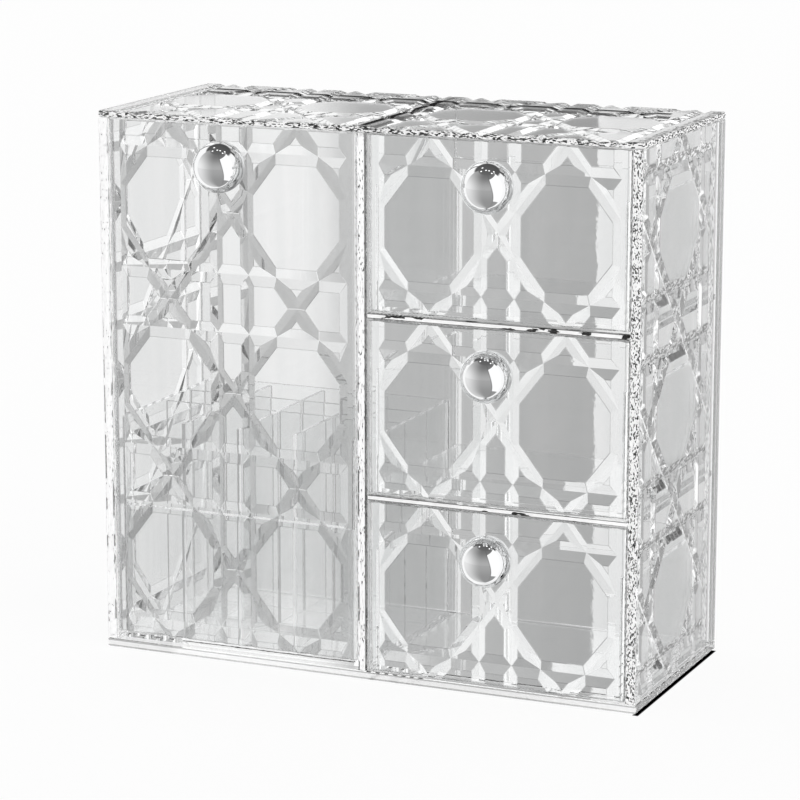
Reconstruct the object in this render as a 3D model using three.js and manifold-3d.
// Clear acrylic makeup organizer with one tall pull-out drawer and three small ones.
// Its visible panels are moulded with a cane-weave relief. Units are millimetres, +Z is up and
// the fronts face -Y. The origin is the centre of the base panel's underside.
import * as THREE from 'three';
import { mergeVertices } from 'three/addons/utils/BufferGeometryUtils.js';
import Module from 'manifold-3d';

const wasm = await Module();
wasm.setup();

// Case
const caseWidth = 270;
const caseDepth = 113;
const wallThickness = 5;
const topThickness = 3;
const baseThickness = 4;
const shelfThickness = 3;
const bayHeight = 82.4;
const bayNames = ['bottom', 'middle', 'top'];

// Fits and edges
const bondLine = 0.3;
const frontSideGap = 0.8;
const frontEndGap = 0.7;
const traySideGap = 1;
const trayRearGap = 4;
const runningGap = 0.3;
const slotClearance = 0.3;
const edgeChamfer = 0.35;
const cutOverrun = 1;

// Cane-weave relief: uprights, rails and diagonals are V grooves of one depth
const grooveDepth = 1.25;
const uprightHalfWidth = 3.35;
const railHalfWidth = 4.7;
const uprightOffset = 8;
const railOffset = 13.95;
const sideFrontBorder = 3.8;
const sideRearBorder = 16.8;

// Drawers
const frontThickness = 4;
const tallFrontLift = 3.5;
const trayWall = 2.5;
const trayFloor = 2.5;
const trayCorner = 3;
const smallTrayHeadroom = 24.4;
const smallTrayFrontHeight = trayFloor;
const smallWeaveDrop = 1.3;
const tallTrayHeight = 109;
const tallTrayFrontHeight = 66;
const cornerSegments = 4;

// Dividers of the tall drawer
const dividerThickness = 2;
const dividerDrop = 0.8;
const cellWidth = 27.2;
const cellDepth = 24;
const longDividerCount = 3;
const crossDividerCount = 2;

// Knobs and their screws
const knobRadius = 12;
const knobNeckRadius = 4.6;
const knobStandOff = 11.6;
const knobDrop = 18;
const knobBoreRadius = 1.9;
const knobBoreDepth = 9;
const knobSegments = 36;
const knobRings = 14;
const screwRadius = 1.6;
const screwLength = 10;
const screwHeadRadius = 3.4;
const screwHeadHeight = 2.2;
const screwHoleClearance = 0.4;
const driverSlotWidth = 1;
const driverSlotDepth = 0.9;
const screwSegments = 20;

// Sizes that follow
const rowCount = bayNames.length;
const rowPitch = bayHeight + shelfThickness;
const bayWidth = (caseWidth - 3 * wallThickness) / 2;
const columnPitch = (bayWidth + wallThickness) / 2;
const depthPitch = caseDepth - sideFrontBorder - sideRearBorder - 2 * uprightOffset;
const wallHeight = rowCount * rowPitch - shelfThickness;
const panelHeight = wallHeight - 2 * bondLine;
const panelCentreZ = baseThickness + wallHeight / 2;
const frontY = -caseDepth / 2;
const backInnerY = caseDepth / 2 - wallThickness;
const frontWidth = bayWidth - 2 * frontSideGap;
const trayWidth = bayWidth - 2 * traySideGap;
const trayFrontY = frontY + frontThickness + bondLine;
const trayDepth = backInnerY - trayRearGap - trayFrontY;
const trayCentreY = trayFrontY + trayDepth / 2;
const trayInnerDepth = trayDepth - 2 * trayWall;
const trayInnerWidth = trayWidth - 2 * trayWall;
const smallTrayHeight = bayHeight - smallTrayHeadroom;
const bayCentreX = (bayWidth + wallThickness) / 2;
const dividerHeight = tallTrayHeight - trayFloor - runningGap - dividerDrop;

const bayFloorZ = (row) => baseThickness + row * rowPitch;
const rowCentreZ = (row) => bayFloorZ(row) + bayHeight / 2;

// Materials
const acrylic = () => new THREE.MeshStandardMaterial({ color: 0xe9eef0, roughness: 0.04, metalness: 0 });
const chrome = () => new THREE.MeshStandardMaterial({ color: 0xd8dadd, roughness: 0.05, metalness: 1 });
const steel = () => new THREE.MeshStandardMaterial({ color: 0xb4b7ba, roughness: 0.3, metalness: 1 });

// Solids for cutting and joining, made from closed meshes
function toSolid(geometry) {
  const bare = geometry.clone();
  bare.deleteAttribute('normal');
  bare.deleteAttribute('uv');
  const merged = mergeVertices(bare);
  return new wasm.Manifold(new wasm.Mesh({
    numProp: 3,
    vertProperties: new Float32Array(merged.attributes.position.array),
    triVerts: new Uint32Array(merged.index.array),
  }));
}

function toGeometry(solid) {
  const mesh = solid.getMesh();
  const geometry = new THREE.BufferGeometry();
  geometry.setAttribute('position', new THREE.BufferAttribute(mesh.vertProperties, 3));
  geometry.setIndex(new THREE.BufferAttribute(mesh.triVerts, 1));
  return geometry;
}

function part(name, geometry, material) {
  const mesh = new THREE.Mesh(geometry, material());
  mesh.name = name;
  return mesh;
}

// Pieces are drawn with local X across, local Y up and local Z out of their outer face. This
// stands one up facing -Y, then turns it about the vertical: a quarter turn faces it right.
function standing(mesh, x, y, z, turn = 0) {
  mesh.rotation.set(Math.PI / 2, 0, turn, 'ZXY');
  mesh.position.set(x, y, z);
  return mesh;
}

function lying(mesh, x, y, z) {
  mesh.position.set(x, y, z);
  return mesh;
}

// A cut sheet with its outer face on Z = 0 and its edges broken by a small chamfer
function sheet(width, height, thickness) {
  const x = width / 2 - edgeChamfer;
  const y = height / 2 - edgeChamfer;
  const outline = new THREE.Shape();
  outline.moveTo(-x, -y);
  outline.lineTo(x, -y);
  outline.lineTo(x, y);
  outline.lineTo(-x, y);
  outline.closePath();
  const geometry = new THREE.ExtrudeGeometry(outline, {
    depth: thickness - 2 * edgeChamfer,
    bevelEnabled: true,
    bevelSegments: 1,
    bevelThickness: edgeChamfer,
    bevelSize: edgeChamfer,
  });
  geometry.translate(0, 0, edgeChamfer - thickness);
  return geometry;
}

// One V groove along local Y, cut into the face Z = 0
function groove(halfWidth, length) {
  const openHalfWidth = halfWidth * (grooveDepth + cutOverrun) / grooveDepth;
  const section = new THREE.Shape();
  section.moveTo(0, -grooveDepth);
  section.lineTo(openHalfWidth, cutOverrun);
  section.lineTo(-openHalfWidth, cutOverrun);
  section.closePath();
  const geometry = new THREE.ExtrudeGeometry(section, { depth: length, bevelEnabled: false });
  geometry.translate(0, 0, -length / 2);
  geometry.rotateX(Math.PI / 2);
  return geometry;
}

// Pairs of places, each pair beside one of the lines centre + n * pitch, between two limits
function pairs(centre, pitch, offset, low, high) {
  const places = [];
  const first = Math.floor((low - centre) / pitch);
  const last = Math.ceil((high - centre) / pitch);
  for (let step = first; step <= last; step += 1) {
    for (const side of [-1, 1]) {
      const place = centre + step * pitch + side * offset;
      if (place > low && place < high) places.push(place);
    }
  }
  return places;
}

// The cane weave of one panel. Uprights stand in pairs beside each column of crossings and rails
// lie in pairs beside each boundary of two rows, while diagonals run from crossing to crossing.
// Rails and diagonals stop on the deepest line of the outermost uprights. All grooves have one
// depth, so every crossing comes out mitred.
function weave(width, height, columns, rows) {
  const uprights = pairs(columns.centre, columns.pitch, uprightOffset, columns.low, columns.high);
  const rails = pairs(rows.centre + rows.pitch / 2, rows.pitch, railOffset, rows.low, rows.high);
  const left = Math.min(...uprights);
  const right = Math.max(...uprights);
  const span = right - left;
  const middle = (left + right) / 2;
  const fullHeight = height + 2 * cutOverrun;
  const cuts = [];

  for (const place of uprights) {
    const geometry = groove(uprightHalfWidth, fullHeight);
    geometry.translate(place, 0, 0);
    cuts.push(toSolid(geometry));
  }
  for (const place of rails) {
    const geometry = groove(railHalfWidth, span);
    geometry.rotateZ(Math.PI / 2);
    geometry.translate(middle, place, 0);
    cuts.push(toSolid(geometry));
  }

  const field = new THREE.BoxGeometry(span, fullHeight, 2 * (grooveDepth + 2 * cutOverrun));
  field.translate(middle, 0, 0);
  const fieldSolid = toSolid(field);
  const reach = Math.ceil(width / columns.pitch + height / rows.pitch);
  const lean = Math.atan2(columns.pitch, rows.pitch);
  for (let step = -reach; step <= reach; step += 1) {
    for (const side of [-1, 1]) {
      const geometry = groove(uprightHalfWidth, 2 * (width + height));
      geometry.rotateZ(side * lean);
      geometry.translate(columns.centre + step * columns.pitch, rows.centre, 0);
      cuts.push(toSolid(geometry).intersect(fieldSolid));
    }
  }
  return cuts;
}

// A relief panel: a sheet less its weave and any holes
function reliefPanel(name, width, height, thickness, columns, rows, holes = []) {
  let solid = toSolid(sheet(width, height, thickness));
  for (const cut of weave(width, height, columns, rows)) solid = solid.subtract(cut);
  for (const hole of holes) solid = solid.subtract(toSolid(hole));
  return part(name, toGeometry(solid), acrylic);
}

// Case panels
function sidePanel(name, side) {
  const firstColumn = -caseDepth / 2 + sideFrontBorder + uprightOffset;
  const limit = caseDepth / 2;
  const columns = {
    centre: side * firstColumn,
    pitch: depthPitch,
    low: side > 0 ? -limit : sideRearBorder / 2 - limit,
    high: side > 0 ? limit - sideRearBorder / 2 : limit,
  };
  const rows = { centre: 0, pitch: rowPitch, low: -panelHeight / 2, high: panelHeight / 2 };
  const mesh = reliefPanel(name, caseDepth, panelHeight, wallThickness, columns, rows);
  return standing(mesh, side * caseWidth / 2, 0, panelCentreZ, side * Math.PI / 2);
}

function topPanel() {
  const columns = { centre: bayCentreX, pitch: columnPitch, low: -caseWidth / 2, high: caseWidth / 2 };
  const rows = { centre: 0, pitch: depthPitch, low: -depthPitch / 2, high: depthPitch / 2 };
  const mesh = reliefPanel('top_panel', caseWidth, caseDepth, topThickness, columns, rows);
  return lying(mesh, 0, 0, baseThickness + wallHeight + topThickness);
}

function basePanel() {
  return lying(part('base_panel', sheet(caseWidth, caseDepth, baseThickness), acrylic), 0, 0, baseThickness);
}

function backPanel() {
  const width = caseWidth - 2 * (wallThickness + bondLine);
  const mesh = part('back_panel', sheet(width, panelHeight, wallThickness), acrylic);
  return standing(mesh, 0, caseDepth / 2, panelCentreZ, Math.PI);
}

function partition() {
  const depth = backInnerY - bondLine - frontY;
  const mesh = part('centre_partition', sheet(depth, panelHeight, wallThickness), acrylic);
  return standing(mesh, wallThickness / 2, frontY + depth / 2, panelCentreZ, Math.PI / 2);
}

function shelf(name, row) {
  const depth = backInnerY - bondLine - frontY;
  const mesh = part(name, sheet(bayWidth - 2 * bondLine, depth, shelfThickness), acrylic);
  return lying(mesh, bayCentreX, frontY + depth / 2, bayFloorZ(row));
}

function roundedRectangle(width, depth, radius) {
  const x = width / 2;
  const y = depth / 2;
  const outline = new THREE.Shape();
  outline.moveTo(radius - x, -y);
  outline.lineTo(x - radius, -y);
  outline.absarc(x - radius, radius - y, radius, -Math.PI / 2, 0, false);
  outline.lineTo(x, y - radius);
  outline.absarc(x - radius, y - radius, radius, 0, Math.PI / 2, false);
  outline.lineTo(radius - x, y);
  outline.absarc(radius - x, y - radius, radius, Math.PI / 2, Math.PI, false);
  outline.lineTo(-x, radius - y);
  outline.absarc(radius - x, radius - y, radius, Math.PI, 3 * Math.PI / 2, false);
  return outline;
}

// A moulded tray standing on Z = 0. Its wall on the -Y side is lowered between the side walls:
// a front height of one floor thickness leaves that side open, for the drawer front to close.
function tray(name, height, frontHeight) {
  const settings = { bevelEnabled: false, curveSegments: cornerSegments };
  const outside = roundedRectangle(trayWidth, trayDepth, trayCorner);
  const inside = roundedRectangle(trayInnerWidth, trayInnerDepth, trayCorner - trayWall / 2);
  const body = new THREE.ExtrudeGeometry(outside, { ...settings, depth: height });
  const hollow = new THREE.ExtrudeGeometry(inside, { ...settings, depth: height });
  hollow.translate(0, 0, trayFloor);
  const notchDepth = trayWall + trayCorner + cutOverrun;
  const notchHeight = height - frontHeight + cutOverrun;
  const notch = new THREE.BoxGeometry(trayInnerWidth, notchDepth, notchHeight);
  notch.translate(0, (notchDepth - trayDepth) / 2 - cutOverrun, frontHeight + notchHeight / 2);
  const solid = toSolid(body).subtract(toSolid(hollow)).subtract(toSolid(notch));
  return part(name, toGeometry(solid), acrylic);
}

// Dividers are plates with open slots to half their height, so that they halve into each other
function divider(name, length, slotPlaces, slotsOnTop) {
  const slotHalfWidth = dividerThickness / 2 + slotClearance;
  const slotDepth = dividerHeight / 2 + slotClearance;
  const outline = new THREE.Shape();
  outline.moveTo(-length / 2, 0);
  for (const place of slotPlaces) {
    outline.lineTo(place - slotHalfWidth, 0);
    outline.lineTo(place - slotHalfWidth, slotDepth);
    outline.lineTo(place + slotHalfWidth, slotDepth);
    outline.lineTo(place + slotHalfWidth, 0);
  }
  outline.lineTo(length / 2, 0);
  outline.lineTo(length / 2, dividerHeight);
  outline.lineTo(-length / 2, dividerHeight);
  outline.closePath();
  const geometry = new THREE.ExtrudeGeometry(outline, { depth: dividerThickness, bevelEnabled: false });
  geometry.translate(0, 0, -dividerThickness / 2);
  if (slotsOnTop) {
    geometry.rotateZ(Math.PI);
    geometry.translate(0, dividerHeight, 0);
  }
  return part(name, geometry, acrylic);
}

// Turned pieces: the profile gives radius and distance forward of the face that carries it
function turned(profile, segments) {
  const points = profile.map(([radius, forward]) => new THREE.Vector2(radius, forward));
  const geometry = new THREE.LatheGeometry(points, segments);
  geometry.rotateX(Math.PI / 2);
  return toSolid(geometry);
}

function knob(name) {
  const seatAngle = Math.asin(knobNeckRadius / knobRadius);
  const profile = [
    [0, knobBoreDepth],
    [knobBoreRadius, knobBoreDepth],
    [knobBoreRadius, 0],
    [knobNeckRadius, 0],
  ];
  for (let ring = 0; ring < knobRings; ring += 1) {
    const angle = seatAngle + (Math.PI - seatAngle) * ring / knobRings;
    profile.push([knobRadius * Math.sin(angle), knobStandOff - knobRadius * Math.cos(angle)]);
  }
  profile.push([0, knobStandOff + knobRadius]);
  return part(name, toGeometry(turned(profile, knobSegments)), chrome);
}

function knobScrew(name) {
  const profile = [
    [0, -screwHeadHeight],
    [screwHeadRadius - edgeChamfer, -screwHeadHeight],
    [screwHeadRadius, edgeChamfer - screwHeadHeight],
    [screwHeadRadius, 0],
    [screwRadius, 0],
    [screwRadius, screwLength - edgeChamfer],
    [screwRadius - edgeChamfer, screwLength],
    [0, screwLength],
  ];
  const slot = new THREE.BoxGeometry(2 * screwHeadRadius + cutOverrun, driverSlotWidth, 2 * driverSlotDepth);
  slot.translate(0, 0, -screwHeadHeight);
  return part(name, toGeometry(turned(profile, screwSegments).subtract(toSolid(slot))), steel);
}

// One drawer: relief front, tray, knob and screw. The front spans the rows of its bay, and its
// weave and knob sit lower than the bay's by the weave drop.
function drawer(name, side, row, rowsSpanned, lift, weaveDrop, trayHeight, trayFrontHeight) {
  const group = new THREE.Group();
  const x = side * bayCentreX;
  const bayTopZ = bayFloorZ(row + rowsSpanned) - shelfThickness;
  const bottomZ = bayFloorZ(row) + frontEndGap + lift;
  const topZ = bayTopZ - frontEndGap;
  const height = topZ - bottomZ;
  const centreZ = (topZ + bottomZ) / 2;
  const weaveZ = rowCentreZ(row) - weaveDrop;
  const knobZ = bayTopZ - weaveDrop - knobDrop;

  const columns = { centre: 0, pitch: columnPitch, low: -frontWidth / 2, high: frontWidth / 2 };
  const rows = { centre: weaveZ - centreZ, pitch: rowPitch, low: -height / 2, high: height / 2 };
  const holeRadius = screwRadius + screwHoleClearance;
  const hole = new THREE.CylinderGeometry(holeRadius, holeRadius, 2 * (frontThickness + cutOverrun), screwSegments);
  hole.rotateX(Math.PI / 2);
  hole.translate(0, knobZ - centreZ, 0);
  const front = reliefPanel(`${name}_front`, frontWidth, height, frontThickness, columns, rows, [hole]);
  group.add(standing(front, x, frontY, centreZ));

  group.add(lying(tray(`${name}_tray`, trayHeight, trayFrontHeight), x, trayCentreY, bayFloorZ(row) + runningGap));
  group.add(standing(knob(`${name}_knob`), x, frontY - bondLine, knobZ));
  group.add(standing(knobScrew(`${name}_knob_screw`), x, frontY + frontThickness + bondLine, knobZ));
  return group;
}

function tallDrawerDividers() {
  const group = new THREE.Group();
  const footZ = bayFloorZ(0) + runningGap + trayFloor + runningGap;
  const columnStep = cellWidth + dividerThickness;
  const rowStep = cellDepth + dividerThickness;
  const columnPlaces = [];
  for (let index = 0; index < longDividerCount; index += 1) {
    columnPlaces.push((index - (longDividerCount - 1) / 2) * columnStep);
  }
  const rowPlaces = [];
  for (let index = crossDividerCount; index > 0; index -= 1) {
    rowPlaces.push(trayInnerDepth / 2 - index * rowStep);
  }
  const longLength = trayInnerDepth - 2 * slotClearance;
  const crossLength = trayInnerWidth - 2 * slotClearance;
  columnPlaces.forEach((place, index) => {
    const mesh = divider(`long_divider_${index + 1}`, longLength, rowPlaces, false);
    group.add(standing(mesh, place - bayCentreX, trayCentreY, footZ, Math.PI / 2));
  });
  rowPlaces.forEach((place, index) => {
    const mesh = divider(`cross_divider_${index + 1}`, crossLength, columnPlaces, true);
    group.add(standing(mesh, -bayCentreX, trayCentreY + place, footZ));
  });
  return group;
}

// Assembly
const organizer = new THREE.Group();
organizer.add(topPanel(), basePanel(), backPanel(), partition());
organizer.add(sidePanel('left_side_panel', -1), sidePanel('right_side_panel', 1));
organizer.add(shelf('lower_shelf', 1), shelf('upper_shelf', 2));
organizer.add(
  drawer('tall_drawer', -1, 0, rowCount, tallFrontLift, 0, tallTrayHeight, tallTrayFrontHeight),
  tallDrawerDividers(),
);
bayNames.forEach((bay, row) => {
  const name = `${bay}_drawer`;
  organizer.add(drawer(name, 1, row, 1, 0, smallWeaveDrop, smallTrayHeight, smallTrayFrontHeight));
});

export default organizer;
